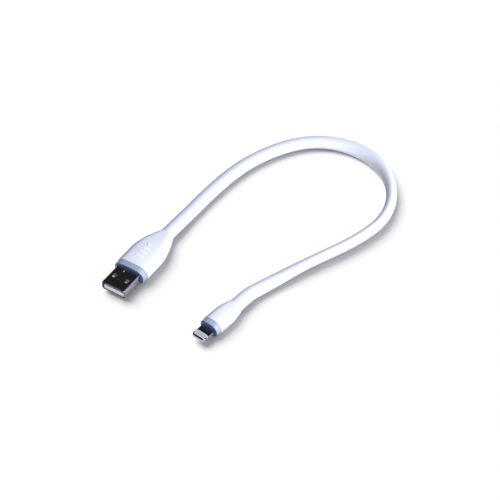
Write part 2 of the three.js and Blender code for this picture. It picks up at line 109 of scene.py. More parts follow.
# Each finish: a colour, a second shade that drifts over patches of `patch` mm, roughness from low to
# high, and a bump of `bump` mm with grains of `grain` mm, drawn out along one axis by `stretch`.
finishes = {
    # Moulded thermoplastic elastomer: opaque bluish white, with the soft dull skin of a matt tool.
    "whiteElastomer": {
        "colour": "#d2d7ea", "shade": "#cad0e6", "patch": 9, "rough": (0.52, 0.7), "grain": 0.45,
        "bump": 0.009, "ior": 1.5,
    },
    # The cord's jacket is the same elastomer, extruded, so its grain runs lengthwise.
    "extrudedElastomer": {
        "colour": "#d2d7e9", "shade": "#cad0e4", "patch": 12, "rough": (0.52, 0.7), "grain": 0.5,
        "bump": 0.009, "ior": 1.5, "lengthwise": True,
    },
    # The ribs are raised from a polished part of the same tool, so they are smoother; their whiter
    # colour is painted highlight on the raised marks.
    "polishedHighlightElastomer": {
        "colour": "#e9edf9", "shade": "#e3e8f6", "patch": 3, "rough": (0.26, 0.36), "grain": 0.4,
        "bump": 0.002, "ior": 1.5,
    },
    # Moulded ABS, tinted blue grey, with a fine spark-eroded skin.
    "greyAbs": {
        "colour": "#939fb8", "shade": "#8793ad", "patch": 5, "rough": (0.34, 0.48), "grain": 0.35,
        "bump": 0.006, "ior": 1.54,
    },
    # The collars' front faces: the same ABS, eroded coarser so rougher, with a darker colour that is
    # painted shade for faces turned from the light.
    "shadedFaceAbs": {
        "colour": "#515e84", "shade": "#495678", "patch": 4, "rough": (0.5, 0.64), "grain": 0.25,
        "bump": 0.008, "ior": 1.54,
    },
    # Rolled steel strip, nickel plated: a dark mirror with faint rolling lines and fine rubs.
    "nickelSteel": {
        "colour": "#b9bbc8", "shade": "#adb0bf", "patch": 4, "rough": (0.07, 0.16), "grain": 0.3,
        "bump": 0.0002, "metallic": 1, "stretch": (1, 0.06, 1),
    },
    # The sleeve's cut edge at its mouth: sheared through the plate, so it is duller; its near-black
    # colour is painted shade on the rim.
    "shadedRimSteel": {
        "colour": "#3d3f4b", "shade": "#30323c", "patch": 1, "rough": (0.36, 0.5), "grain": 0.12,
        "bump": 0.002, "metallic": 1,
    },
    # Drawn and squeezed brass ferrule, tin plated: greyer and duller than the sleeve.
    "tinnedFerrule": {
        "colour": "#a8a9ad", "shade": "#97989c", "patch": 3, "rough": (0.28, 0.42), "grain": 0.3,
        "bump": 0.002, "metallic": 1, "stretch": (1, 0.1, 1),
    },
    # Glass-filled nylon tongue: white, slightly dull, with short fibre marks.
    "whiteNylon": {
        "colour": "#eef1fb", "shade": "#e2e7f5", "patch": 3, "rough": (0.38, 0.52), "grain": 0.3,
        "bump": 0.003, "ior": 1.53, "stretch": (1, 0.3, 1),
    },
    # Gold flash over nickel on a stamped strip: warm and bright, worn along the wiping line.
    "goldFlash": {
        "colour": "#cdb077", "shade": "#b3965e", "patch": 1.5, "rough": (0.18, 0.34), "grain": 0.2,
        "bump": 0.001, "metallic": 1, "stretch": (1, 0.1, 1),
    },
    # Palladium-nickel pads: neutral grey, brighter than the steel round them.
    "greyPlate": {
        "colour": "#dadde6", "shade": "#cdd0da", "patch": 1, "rough": (0.5, 0.64), "grain": 0.15,
        "bump": 0.001, "metallic": 1, "stretch": (1, 0.2, 1),
    },
    # Natural polyethylene inner mould: milky, waxy, a little uneven.
    "milkyPolyethylene": {
        "colour": "#dfe2ea", "shade": "#d2d6e0", "patch": 4, "rough": (0.45, 0.6), "grain": 0.6,
        "bump": 0.01, "ior": 1.51,
    },
    # Braid of tinned copper strands 0.1 mm across: broken, sparkling grey.
    "tinnedBraid": {
        "colour": "#a5a7ac", "shade": "#6d6f75", "patch": 0.5, "rough": (0.3, 0.45), "grain": 0.3,
        "bump": 0.03, "metallic": 1,
    },
    # Extruded PVC insulation, glossy from the die.
    "redPvc": {
        "colour": "#c1383a", "shade": "#b02f33", "patch": 3, "rough": (0.25, 0.38), "grain": 0.4,
        "bump": 0.003, "ior": 1.53,
    },
    "whitePvc": {
        "colour": "#e9ecf1", "shade": "#dde1e8", "patch": 3, "rough": (0.25, 0.38), "grain": 0.4,
        "bump": 0.003, "ior": 1.53,
    },
    "greenPvc": {
        "colour": "#2f8c54", "shade": "#277a48", "patch": 3, "rough": (0.25, 0.38), "grain": 0.4,
        "bump": 0.003, "ior": 1.53,
    },
    "blackPvc": {
        "colour": "#26262b", "shade": "#1d1d21", "patch": 3, "rough": (0.25, 0.38), "grain": 0.4,
        "bump": 0.003, "ior": 1.53,
    },
    # Glass-epoxy board under green solder resist: glossy with a faint weave 0.5 mm across.
    "greenBoard": {
        "colour": "#27704c", "shade": "#1f6042", "patch": 0.5, "rough": (0.22, 0.34), "grain": 0.5,
        "bump": 0.004, "ior": 1.55,
    },
    # Moulded epoxy chip package: matt black from its silica filler.
    "blackEpoxy": {
        "colour": "#222429", "shade": "#2c2e34", "patch": 0.4, "rough": (0.5, 0.66), "grain": 0.15,
        "bump": 0.004, "ior": 1.55,
    },
    # Fired titanate ceramic: tan, smooth, slightly speckled.
    "tanCeramic": {
        "colour": "#b8a282", "shade": "#a68f6f", "patch": 0.3, "rough": (0.35, 0.5), "grain": 0.2,
        "bump": 0.003, "ior": 1.76,
    },
}


def makeFinish(name, look):
    material = bpy.data.materials.new(name)
    material.use_nodes = True
    tree = material.node_tree
    shader = tree.nodes["Principled BSDF"]
    place = addNode(tree, "ShaderNodeTexCoord").outputs["Object"]
    grainPlace, grainScale = place, 1 / (look["grain"] * mm)
    if "stretch" in look:
        grainPlace = addNode(
            tree, "ShaderNodeMapping", values={"Scale": look["stretch"]}, links={"Vector": place}
        ).outputs["Vector"]
    if look.get("lengthwise"):  # the jacket's own UV: metres along it, and metres round it
        uv = addNode(tree, "ShaderNodeUVMap", {"uv_map": "jacketUv"}).outputs["UV"]
        grainPlace = addNode(
            tree, "ShaderNodeMapping", values={"Scale": (0.12, 1, 1)}, links={"Vector": uv}
        ).outputs["Vector"]
    patches = addNode(
        tree,
        "ShaderNodeTexNoise",
        values={"Scale": 1 / (look["patch"] * mm), "Detail": 3, "Roughness": 0.55},
        links={"Vector": place},
    ).outputs["Fac"]
    colours = addNode(  # 6 and 7 are the colour pair of this node's inputs
        tree,
        "ShaderNodeMix",
        {"data_type": "RGBA"},
        {6: linearOf(look["colour"]), 7: linearOf(look["shade"])},
        {"Factor": patches},
    )
    tree.links.new(colours.outputs[2], shader.inputs["Base Color"])
    grains = addNode(
        tree,
        "ShaderNodeTexNoise",
        values={"Scale": grainScale, "Detail": 4, "Roughness": 0.6},
        links={"Vector": grainPlace},
    ).outputs["Fac"]
    low, high = look["rough"]
    roughness = addNode(
        tree, "ShaderNodeMapRange", values={"To Min": low, "To Max": high}, links={"Value": grains}
    )
    tree.links.new(roughness.outputs["Result"], shader.inputs["Roughness"])
    bump = addNode(
        tree,
        "ShaderNodeBump",
        values={"Strength": 1, "Distance": look["bump"] * mm},
        links={"Height": grains},
    )
    tree.links.new(bump.outputs["Normal"], shader.inputs["Normal"])
    shader.inputs["Metallic"].default_value = look.get("metallic", 0)
    if "ior" in look:
        shader.inputs["IOR"].default_value = look["ior"]
    return material


materials = {name: makeFinish(name, look) for name, look in finishes.items()}
print("finishes made:", len(materials))


def newPiece(name, vertices, faces, material):
    mesh = bpy.data.meshes.new(name)
    mesh.from_pydata([tuple(v) for v in vertices], [], faces)
    piece = bpy.data.objects.new(name, mesh)
    bpy.context.collection.objects.link(piece)
    tidyMesh(piece)
    mesh.materials.append(materials[material])
    return piece


def tidyMesh(piece, smoothAngle=35):
    # doubles merged, faces turned outwards, and edges sharper than the angle kept crisp
    shape = bmesh.new()
    shape.from_mesh(piece.data)
    bmesh.ops.remove_doubles(shape, verts=shape.verts, dist=1e-7)
    bmesh.ops.recalc_face_normals(shape, faces=shape.faces)
    for face in shape.faces:
        face.smooth = True
    for edge in shape.edges:
        edge.smooth = edge.calc_face_angle(0) < math.radians(smoothAngle)
    shape.to_mesh(piece.data)
    shape.free()


def applyModifiers(piece):
    # the evaluated result becomes the piece's own mesh
    evaluated = piece.evaluated_get(bpy.context.evaluated_depsgraph_get())
    result = bpy.data.meshes.new_from_object(evaluated)
    old = piece.data
    piece.modifiers.clear()
    piece.data = result
    bpy.data.meshes.remove(old)
    result.name = piece.name


def roundedRing(width, height, corner, cuts=8, crown=0):
    # points of a rounded rectangle, anticlockwise; crown lowers the flats towards their sides
    r = min(corner, 0.499 * width, 0.499 * height)
    half = width / 2 - r
    flat = [half * (1 - k / 3) for k in range(1, 6)]  # along each flat, so that a crown is a curve
    points = []
    for quarter, (sx, sy) in enumerate([(1, 1), (-1, 1), (-1, -1), (1, -1)]):
        for i in range(cuts + 1):
            angle = (quarter + i / cuts) * math.pi / 2
            y = sy * (height / 2 - r) + r * math.sin(angle)
            points.append((sx * half + r * math.cos(angle), y))
        if sx == sy:
            points += [(sx * x, sy * height / 2) for x in flat]
    return [(x, y * (1 - crown * (2 * x / width) ** 2)) for x, y in points]


def ringSkin(name, sections, place, material):
    # a skin over sections (y, width, height, corner, crown, lift), joined last to first
    rings = [
        [place @ Vector((x, y, z + lift)) * mm for x, z in roundedRing(w, h, c, crown=k)]
        for y, w, h, c, k, lift in sections
    ]
    count = len(rings[0])
    vertices = [v for ring in rings for v in ring]
    faces = []
    for r in range(len(rings)):
        after = (r + 1) % len(rings)
        for i in range(count):
            j = (i + 1) % count
            faces.append((r * count + i, r * count + j, after * count + j, after * count + i))
    return newPiece(name, vertices, faces, material)


def roundEdge(radius, steps=4):
    # (distance along, inset) pairs of a quarter round, from the face to the side
    turns = [math.pi / 2 * i / steps for i in range(steps + 1)]
    return [(radius * (1 - math.cos(t)), radius * (1 - math.sin(t))) for t in turns]


def carve(piece, cutters, bevel=None):
    for cutter in cutters:
        boolean = piece.modifiers.new("cut", "BOOLEAN")
        boolean.operation, boolean.solver, boolean.object = "DIFFERENCE", "EXACT", cutter
    if bevel:
        edge = piece.modifiers.new("edge", "BEVEL")
        edge.width, edge.segments, edge.angle_limit = bevel * mm, 2, math.radians(50)
        edge.limit_method, edge.use_clamp_overlap = "ANGLE", True
    applyModifiers(piece)
    for cutter in cutters:
        bpy.data.objects.remove(cutter)
    tidyMesh(piece, 16)  # the softened edges stay crisp, so that the flats reflect straight


def steelBar(name, outline, start, end, place, flat):
    # a bar between two levels, in mm, with its outline seen from above if flat, or from the front
    rings = [
        [place @ Vector((u, v, level) if flat else (u, level, v)) * mm for u, v in outline]
        for level in (start, end)
    ]
    n = len(outline)
    faces = [tuple(range(n)), tuple(range(2 * n - 1, n - 1, -1))]
    faces += [(i, n + i, n + (i + 1) % n, (i + 1) % n) for i in range(n)]
    return newPiece(name, rings[0] + rings[1], faces, "nickelSteel")


def paintFront(piece, place, finish, reach, facing):
    # faces that look out of a plug's front, as far back as y = reach, take a finish of their own,
    # which at both uses is painted shade; facing is the least cosine between such a face's normal
    # and straight ahead
    piece.data.materials.append(materials[finish])
    own = place.inverted()
    for face in piece.data.polygons:
        forward = -(own.to_3x3() @ face.normal).y
        if forward > facing and (own @ (face.center / mm)).y < reach:
            face.material_index = len(piece.data.materials) - 1


def finishPiece(piece, slotName, *nodes):
    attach(piece, "root")
    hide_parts(*nodes)


# the cord
cord = {
    "width": 6.8,
    "height": 5.0,
    "coreWidth": 5.36,
    "coreHeight": 2.2,
    "sides": 40,
    "stations": 340,
    "into": 1.2,  # mm of jacket carried on towards and into each boot's mouth
    "startHeight": 3.5,
    "endHeight": 3.4,
    "drop": 22,  # mm over which the cord comes down from a plug's axis to the table
    "cores": [
        "cord_braid", "wire_power_red", "wire_data_white", "wire_data_green", "wire_ground_black",
    ],
    # degrees that the oval turns between two distances along the cord, in mm
    "turns": [(95, 150, 85), (150, 195, -25), (197, 243, -60)],
    # the centreline in plan, in metres
    "route": [
        (0, 0.0193), (0, 0.03), (0.0001, 0.039), (0.0003, 0.048), (0.0008, 0.057), (0.0017, 0.066),
        (0.0034, 0.0755), (0.0062, 0.0845), (0.0101, 0.093), (0.0154, 0.1012), (0.0222, 0.1078),
        (0.0306, 0.1122), (0.0398, 0.114), (0.0494, 0.113), (0.0582, 0.1093), (0.0658, 0.1033),
        (0.0716, 0.0953), (0.0749, 0.0866), (0.0757, 0.0776), (0.0743, 0.0694), (0.0719, 0.0616),
        (0.0689, 0.054), (0.0655, 0.0466), (0.062, 0.0392), (0.0588, 0.0319), (0.0559, 0.0245),
        (0.053, 0.017), (0.0507, 0.0097), (0.04948, -0.00037),
    ],
}


def smoothStep(x, low, high):
    t = min(1, max(0, (x - low) / (high - low)))
    return t * t * (3 - 2 * t)


def throughPoints(points, perSpan=40):
    # a centripetal Catmull-Rom line through the points
    line = [2 * points[0] - points[1], *points, 2 * points[-1] - points[-2]]
    path = [points[0]]
    for p0, p1, p2, p3 in zip(line, line[1:], line[2:], line[3:]):
        d0, d1, d2 = [math.sqrt((b - a).length) for a, b in ((p0, p1), (p1, p2), (p2, p3))]
        m1 = ((p1 - p0) / d0 - (p2 - p0) / (d0 + d1) + (p2 - p1) / d1) * d1
        m2 = ((p2 - p1) / d1 - (p3 - p1) / (d1 + d2) + (p3 - p2) / d2) * d1
        for i in range(1, perSpan + 1):
            t = i / perSpan
            c2, c3 = 3 * (p2 - p1) - 2 * m1 - m2, 2 * (p1 - p2) + m1 + m2
            path.append(p1 + m1 * t + c2 * t**2 + c3 * t**3)
    return path


def evenSteps(path, count):
    # (point, distance) at equal distances along a fine line
    runs = [0]
    for a, b in zip(path, path[1:]):
        runs.append(runs[-1] + (b - a).length)
    steps, k = [], 0
    for i in range(count):
        want = runs[-1] * i / (count - 1)
        while k < len(runs) - 2 and runs[k + 1] < want:
            k += 1
        share = (want - runs[k]) / (runs[k + 1] - runs[k])
        steps.append((path[k].lerp(path[k + 1], share), want))
    return steps


def cordLine():
    # centre points and rolls: the oval rests on the table, and rises to each plug's axis
    flat = throughPoints([Vector((x, y, 0)) for x, y in cord["route"]])
    steps = evenSteps(flat, cord["stations"])
    length = steps[-1][1]
    points, rolls = [], []
    for point, run in steps:
        roll = math.radians(sum(by * smoothStep(run / mm, a, b) for a, b, by in cord["turns"]))
        rest = math.hypot(cord["width"] * math.sin(roll), cord["height"] * math.cos(roll)) / 2 * mm
        fromStart = 1 - smoothStep(run / mm, 0, cord["drop"])
        fromEnd = 1 - smoothStep((length - run) / mm, 0, cord["drop"])
        rise = (cord["startHeight"] * mm - rest) * fromStart
        rise += (cord["endHeight"] * mm - rest) * fromEnd
        points.append(Vector((point.x, point.y, rest + rise)))
        rolls.append(roll)
    for end, near in ((0, 1), (-1, -2)):
        away = points[end] - points[near]
        away.z = 0
        tail = points[end] + away.normalized() * cord["into"] * mm
        points.insert(0 if end == 0 else len(points), tail)
        rolls.insert(0 if end == 0 else len(rolls), rolls[end])
    return points, rolls, length


def newTree(name, sockets):
    tree = bpy.data.node_groups.new(name, "GeometryNodeTree")
    tree.interface.new_socket("Geometry", in_out="INPUT", socket_type="NodeSocketGeometry")
    tree.interface.new_socket("Geometry", in_out="OUTPUT", socket_type="NodeSocketGeometry")
    for label, kind in sockets:
        tree.interface.new_socket(label, in_out="INPUT", socket_type=kind)
    return tree, addNode(tree, "NodeGroupInput"), addNode(tree, "NodeGroupOutput")


def runTree(piece, tree, values):
    # inputs are set by each socket's identifier before the first evaluation
    modifier = piece.modifiers.new(tree.name, "NODES")
    modifier.node_group = tree
    identifiers = {s.name: s.identifier for s in tree.interface.items_tree if s.in_out == "INPUT"}
    for label, value in values.items():
        modifier[identifiers[label]] = value
    applyModifiers(piece)


def jacketTree():
    # sweeps the oval jacket and its core bore along a line of points that carry their roll
    number, whole = "NodeSocketFloat", "NodeSocketInt"
    sockets = [
        ("Width", number), ("Height", number), ("Core Width", number), ("Core Height", number),
        ("Sides", whole), ("Material", "NodeSocketMaterial"),
    ]
    tree, given, made = newTree("jacketTree", sockets)
    line = addNode(tree, "GeometryNodeMeshToCurve", links={"Mesh": given.outputs["Geometry"]})
    roll = addNode(
        tree, "GeometryNodeInputNamedAttribute", {"data_type": "FLOAT"}, {"Name": "roll"}
    )
    upright = addNode(
        tree, "GeometryNodeSetCurveNormal", {"mode": "Z_UP"}, links={"Curve": line.outputs["Curve"]}
    )
    tilted = addNode(
        tree,
        "GeometryNodeSetCurveTilt",
        links={"Curve": upright.outputs["Curve"], "Tilt": roll.outputs["Attribute"]},
    )
    travelled = addNode(tree, "GeometryNodeSplineParameter")
    capture = "GeometryNodeCaptureAttribute"
    along = addNode(tree, capture, {"domain": "POINT"}, links={"Geometry": tilted.outputs["Curve"]})
    along.capture_items.new("FLOAT", "Value")
    tree.links.new(travelled.outputs["Length"], along.inputs["Value"])
    circle = addNode(
        tree,
        "GeometryNodeCurvePrimitiveCircle",
        {"mode": "RADIUS"},
        {"Radius": 0.5},
        {"Resolution": given.outputs["Sides"]},
    )
    size = addNode(
        tree,
        "ShaderNodeCombineXYZ",
        values={"Z": 1},
        links={"X": given.outputs["Width"], "Y": given.outputs["Height"]},
    )
    oval = addNode(
        tree,
        "GeometryNodeTransform",
        links={"Geometry": circle.outputs["Curve"], "Scale": size.outputs["Vector"]},
    )
    frameCurve = addNode(
        tree,
        "GeometryNodeCurvePrimitiveQuadrilateral",
        {"mode": "RECTANGLE"},
        links={"Width": given.outputs["Core Width"], "Height": given.outputs["Core Height"]},
    )
    cornerRadius = addNode(
        tree,
        "ShaderNodeMath",
        {"operation": "MULTIPLY"},
        {1: 0.495},  # just under half, so that the arcs don't meet
        {0: given.outputs["Core Height"]},
    )
    bore = addNode(
        tree,
        "GeometryNodeFilletCurve",
        {"mode": "POLY"},
        {"Count": 6},
        {"Curve": frameCurve.outputs["Curve"], "Radius": cornerRadius.outputs["Value"]},
    )
    turned = addNode(tree, "GeometryNodeReverseCurve", links={"Curve": bore.outputs["Curve"]})
    both = addNode(tree, "GeometryNodeJoinGeometry")
    tree.links.new(oval.outputs["Geometry"], both.inputs["Geometry"])
    tree.links.new(turned.outputs["Curve"], both.inputs["Geometry"])
    share = addNode(tree, "GeometryNodeSplineParameter")
    around = addNode(
        tree, capture, {"domain": "POINT"}, links={"Geometry": both.outputs["Geometry"]}
    )
    around.capture_items.new("FLOAT", "Value")
    tree.links.new(share.outputs["Factor"], around.inputs["Value"])
    swept = addNode(
        tree,
        "GeometryNodeCurveToMesh",
        links={"Curve": along.outputs["Geometry"], "Profile Curve": around.outputs["Geometry"]},
    )
    stored = swept.outputs["Mesh"]
    for label, source in (("along", along), ("around", around)):
        stored = addNode(
            tree,
            "GeometryNodeStoreNamedAttribute",
            {"data_type": "FLOAT", "domain": "POINT"},
            {"Name": label},
            {"Geometry": stored, "Value": source.outputs["Value"]},
        ).outputs["Geometry"]
    real = addNode(tree, "GeometryNodeRealizeInstances", links={"Geometry": stored})
    painted = addNode(
        tree,
        "GeometryNodeSetMaterial",
        links={"Geometry": real.outputs["Geometry"], "Material": given.outputs["Material"]},
    )
    tree.links.new(painted.outputs["Geometry"], made.inputs["Geometry"])
    return tree


def closeEnds(piece):
    # the outer skin and the bore are bridged into one closed wall at both ends
    shape = bmesh.new()
    shape.from_mesh(piece.data)
    openEdges = [e for e in shape.edges if e.is_boundary]
    start, reach = cordPoints[0], cord["width"] * mm
    for near in (True, False):
        ends = [e for e in openEdges if ((e.verts[0].co - start).length < reach) == near]
        bmesh.ops.bridge_loops(shape, edges=ends)
    shape.to_mesh(piece.data)
    shape.free()
    tidyMesh(piece, 50)


def unwrapJacket(mesh):
    # metres along and metres round, with the last strip closed properly
    girth = math.pi * (cord["width"] + cord["height"]) / 2 * mm
    along = [a.value for a in mesh.attributes["along"].data]
    around = [a.value for a in mesh.attributes["around"].data]
    layer = mesh.uv_layers.new(name="jacketUv")
    for polygon in mesh.polygons:
        shares = [around[v] for v in polygon.vertices]
        wraps = max(shares) - min(shares) > 0.5
        for loop, vertex, share in zip(polygon.loop_indices, polygon.vertices, shares):
            turn = share + 1 if wraps and share < 0.5 else share
            layer.data[loop].uv = (along[vertex], turn * girth)


cordPoints, cordRolls, cordLength = cordLine()
lineMesh = bpy.data.meshes.new("cord_jacket_skin")
lineMesh.from_pydata(cordPoints, [(i, i + 1) for i in range(len(cordPoints) - 1)], [])
rollLayer = lineMesh.attributes.new("roll", "FLOAT", "POINT")
rollLayer.data.foreach_set("value", cordRolls)
jacket = bpy.data.objects.new("cord_jacket_skin", lineMesh)
bpy.context.collection.objects.link(jacket)
runTree(
    jacket,
    jacketTree(),
    {
        "Width": cord["width"] * mm,
        "Height": cord["height"] * mm,
        "Core Width": cord["coreWidth"] * mm,
        "Core Height": cord["coreHeight"] * mm,
        "Sides": cord["sides"],
        "Material": materials["extrudedElastomer"],
    },
)
unwrapJacket(jacket.data)
closeEnds(jacket)
finishPiece(jacket, "white_elastomer", "cord_jacket")
print("cord made:", round(cordLength / mm, 1), "mm between its plugs")

# places of the two plugs
def plugPlace(seatName, collarLength, node):
    # a plug's own place, in mm: y runs back from the joint between its collar and its boot
    seat = next(m for m in frame["record"]["mounts"] if m["name"] == seatName)
    rear = -Vector(seat["axis"])
    low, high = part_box(node)
    origin = Vector(seat["pos_m"]) + rear * collarLength * mm
    origin.z = (low.z + high.z) / 2
    turn = Matrix((rear.cross(Vector((0, 0, 1))), rear, (0, 0, 1))).transposed()
    return Matrix.Translation(origin / mm) @ turn.to_4x4()


# collars
usbCollar = {
    "width": 15.5, "height": 8.0, "corner": 3.4, "length": 3, "round": 0.5, "crown": 0.19,
    "opening": (12.12, 4.62, 0.76), "lead": 0.15,
}
tabCollar = {
    "width": 9.6, "height": 6.7, "corner": 2.9, "length": 2.8, "round": 0.5, "crown": 0.21,
    "opening": (6.82, 1.62, 0.5), "lead": 0.15,
}
buttGap = 0.08  # mm between a collar and its boot
usbPlace = plugPlace("type_a_seat", usbCollar["length"], "usb_shell")
tabPlace = plugPlace("tab_seat", tabCollar["length"], "tab_blade")


def collarSkin(name, collar, place):
    w, h, c, crown = (collar[k] for k in ("width", "height", "corner", "crown"))
    ow, oh, oc = collar["opening"]
    front, lead = -collar["length"], collar["lead"]
    sections = [(-buttGap, w, h, c, crown, 0)]
    for along, inset in reversed(roundEdge(collar["round"])):
        sections.append((front + along, w - 2 * inset, h - 2 * inset, c - inset, crown, 0))
    sections.append((front, ow + 2 * lead, oh + 2 * lead, oc + lead, 0, 0))
    sections.append((front + lead, ow, oh, oc, 0, 0))
    sections.append((-buttGap, ow, oh, oc, 0, 0))
    return ringSkin(name, sections, place, "greyAbs")


for name, collar, place, node in (
    ("usb_collar_skin", usbCollar, usbPlace, "usb_collar"),
    ("tab_collar_skin", tabCollar, tabPlace, "tab_collar"),
):
    skin = collarSkin(name, collar, place)
    # the collar's front faces take the painted shade
    paintFront(skin, place, "shadedFaceAbs", reach=-collar["length"] / 2, facing=0.75)
    finishPiece(skin, "grey_collar", node)
print("collars made")

# boots
usbBoot = {
    "width": 16.4, "height": 8.3, "corner": 3.7, "length": 26, "grip": 9, "edge": 0.3,
    "crown": 0.2, "droop": 0.65,
    # hollows from the front: distance that each reaches, width, height, corner
    "hollows": [(10.16, 12.24, 4.74, 0.7), (14.0, 6.0, 2.84, 1.42)],
}
tabBoot = {
    "width": 10.1, "height": 7.0, "corner": 3.1, "length": 14.5, "grip": 6.3, "edge": 0.3,
    "crown": 0.22, "droop": 0.1,
    "hollows": [(10.36, 7.72, 3.62, 0.66), (13.0, 6.0, 2.84, 1.42)],
}
bootNeck = {
    "lip": 0.25, "edge": 0.15, "mouthClear": 0.06, "mouthDepth": 1.2, "steps": 30, "cordGap": 0.3,
}


def bootSkin(name, boot, place):
    # full section along the grip, then ever quicker down to the neck, and back through the hollows
    w, h, c, crown = (boot[k] for k in ("width", "height", "corner", "crown"))
    nw, nh = cord["width"] + 2 * bootNeck["lip"], cord["height"] + 2 * bootNeck["lip"]
    end, e, droop = boot["length"], bootNeck["edge"], boot["droop"]
    sections = [
        (along, w - 2 * inset, h - 2 * inset, c - inset, crown, 0)
        for along, inset in roundEdge(boot["edge"])
    ]
    run = end - e - boot["grip"]
    for i in range(bootNeck["steps"] + 1):
        t = i / bootNeck["steps"]
        s = 1 - math.cos(math.pi / 2 * t)
        width, height, corner = w + (nw - w) * s, h + (nh - h) * s, c + (nh / 2 - c) * s
        along = boot["grip"] + run * t
        sections.append((along, width, height, corner, crown * (1 - s), -droop * s))
    sections.append((end, nw - 2 * e, nh - 2 * e, nh / 2 - e, 0, -droop))
    mw, mh = cord["width"] + 2 * bootNeck["mouthClear"], cord["height"] + 2 * bootNeck["mouthClear"]
    inner = end - bootNeck["mouthDepth"]
    sections.append((end, mw, mh, mh / 2, 0, -droop))
    sections.append((inner, mw, mh, mh / 2, 0, -droop))
    leanFrom = boot["hollows"][-1][0]
    lean = -droop * (inner - leanFrom) / (end + bootNeck["cordGap"] - leanFrom)
    before = (cord["coreWidth"], cord["coreHeight"], cord["coreHeight"] / 2)
    sections.append((inner, *before, 0, lean))
    for reach, hw, hh, hc in reversed(boot["hollows"]):
        sections.append((reach, *before, 0, 0))
        sections.append((reach, hw, hh, hc, 0, 0))
        before = (hw, hh, hc)
    sections.append((0, *before, 0, 0))
    return ringSkin(name, sections, place, "whiteElastomer")


finishPiece(bootSkin("usb_boot_skin", usbBoot, usbPlace), "white_elastomer", "usb_boot")
finishPiece(bootSkin("tab_boot_skin", tabBoot, tabPlace), "white_elastomer", "tab_boot")
print("boots made")

# the four tapering ribs on the larger boot
ribs = {
    "count": 4, "pitch": 2.6, "from": 5.4, "longest": 4.8, "shorterBy": 0.8, "thick": 1.0,
    "rise": 0.25, "blunt": 4,
}


def ribTree():
    # a row of rounded bars along +Y, each shorter than the one before
    number, whole = "NodeSocketFloat", "NodeSocketInt"
    sockets = [
        ("Count", whole), ("Pitch", number), ("Length", number), ("Shorten", number),
        ("Thickness", number), ("Rise", number), ("Bluntness", number),
        ("Start", "NodeSocketVector"), ("Material", "NodeSocketMaterial"),
    ]
    tree, given, made = newTree("ribTree", sockets)
    get = given.outputs

    maths = "ShaderNodeMath"
    times, less, over = ({"operation": o} for o in ("MULTIPLY", "SUBTRACT", "DIVIDE"))
    half = addNode(tree, maths, times, {1: 0.5}, {0: get["Length"]}).outputs[0]
    back = addNode(tree, maths, times, {1: -0.5}, {0: get["Length"]}).outputs[0]
    left = addNode(tree, "ShaderNodeCombineXYZ", links={"X": back}).outputs[0]
    right = addNode(tree, "ShaderNodeCombineXYZ", links={"X": half}).outputs[0]
    line = addNode(
        tree, "GeometryNodeCurvePrimitiveLine", links={"Start": left, "End": right}
    ).outputs[0]
    fine = addNode(
        tree, "GeometryNodeResampleCurve", values={"Count": 41}, links={"Curve": line}
    ).outputs[0]
    # the radius falls away only near the two ends: sqrt(1 - |2 x share - 1| ^ bluntness)
    share = addNode(tree, "GeometryNodeSplineParameter").outputs["Factor"]
    across = addNode(tree, maths, {"operation": "MULTIPLY_ADD"}, {1: 2, 2: -1}, {0: share})
    off = addNode(tree, maths, {"operation": "ABSOLUTE"}, links={0: across.outputs[0]}).outputs[0]
    power = addNode(tree, maths, {"operation": "POWER"}, links={0: off, 1: get["Bluntness"]})
    fall = addNode(tree, maths, {**less, "use_clamp": True}, {0: 1}, {1: power.outputs[0]})
    radius = addNode(tree, maths, {"operation": "SQRT"}, links={0: fall.outputs[0]}).outputs[0]
    shaped = addNode(tree, "GeometryNodeSetCurveRadius", links={"Curve": fine, "Radius": radius})
    halfThick = addNode(tree, maths, times, {1: 0.5}, {0: get["Thickness"]}).outputs[0]
    profile = addNode(
        tree,
        "GeometryNodeCurvePrimitiveCircle",
        {"mode": "RADIUS"},
        {"Resolution": 20},
        {"Radius": halfThick},
    ).outputs[0]
    body = addNode(
        tree,
        "GeometryNodeCurveToMesh",
        links={"Curve": shaped.outputs[0], "Profile Curve": profile, "Scale": radius},
    )
    flatten = addNode(tree, maths, over, links={0: get["Rise"], 1: halfThick}).outputs[0]
    squash = addNode(tree, "ShaderNodeCombineXYZ", values={"X": 1, "Y": 1}, links={"Z": flatten})
    low = addNode(
        tree,
        "GeometryNodeTransform",
        links={"Geometry": body.outputs["Mesh"], "Scale": squash.outputs["Vector"]},
    )
    merged = addNode(
        tree,
        "GeometryNodeMergeByDistance",
        values={"Distance": 1e-6},
        links={"Geometry": low.outputs["Geometry"]},
    )
    step = addNode(tree, "ShaderNodeCombineXYZ", links={"Y": get["Pitch"]})
    row = addNode(
        tree,
        "GeometryNodeMeshLine",
        {"mode": "OFFSET", "count_mode": "TOTAL"},
        links={"Count": get["Count"], "Start Location": get["Start"], "Offset": step.outputs[0]},
    )
    index = addNode(tree, "GeometryNodeInputIndex").outputs["Index"]
    lost = addNode(tree, maths, times, links={0: index, 1: get["Shorten"]}).outputs[0]
    lostShare = addNode(tree, maths, over, links={0: lost, 1: get["Length"]}).outputs[0]
    kept = addNode(tree, maths, less, {0: 1}, {1: lostShare}).outputs[0]
    narrower = addNode(tree, "ShaderNodeCombineXYZ", values={"Y": 1, "Z": 1}, links={"X": kept})
    placed = addNode(
        tree,
        "GeometryNodeInstanceOnPoints",
        links={
            "Points": row.outputs["Mesh"],
            "Instance": merged.outputs["Geometry"],
            "Scale": narrower.outputs["Vector"],
        },
    )
    real = addNode(
        tree, "GeometryNodeRealizeInstances", links={"Geometry": placed.outputs["Instances"]}
    )
    painted = addNode(
        tree,
        "GeometryNodeSetMaterial",
        links={"Geometry": real.outputs["Geometry"], "Material": get["Material"]},
    )
    tree.links.new(painted.outputs["Geometry"], made.inputs["Geometry"])
    return tree


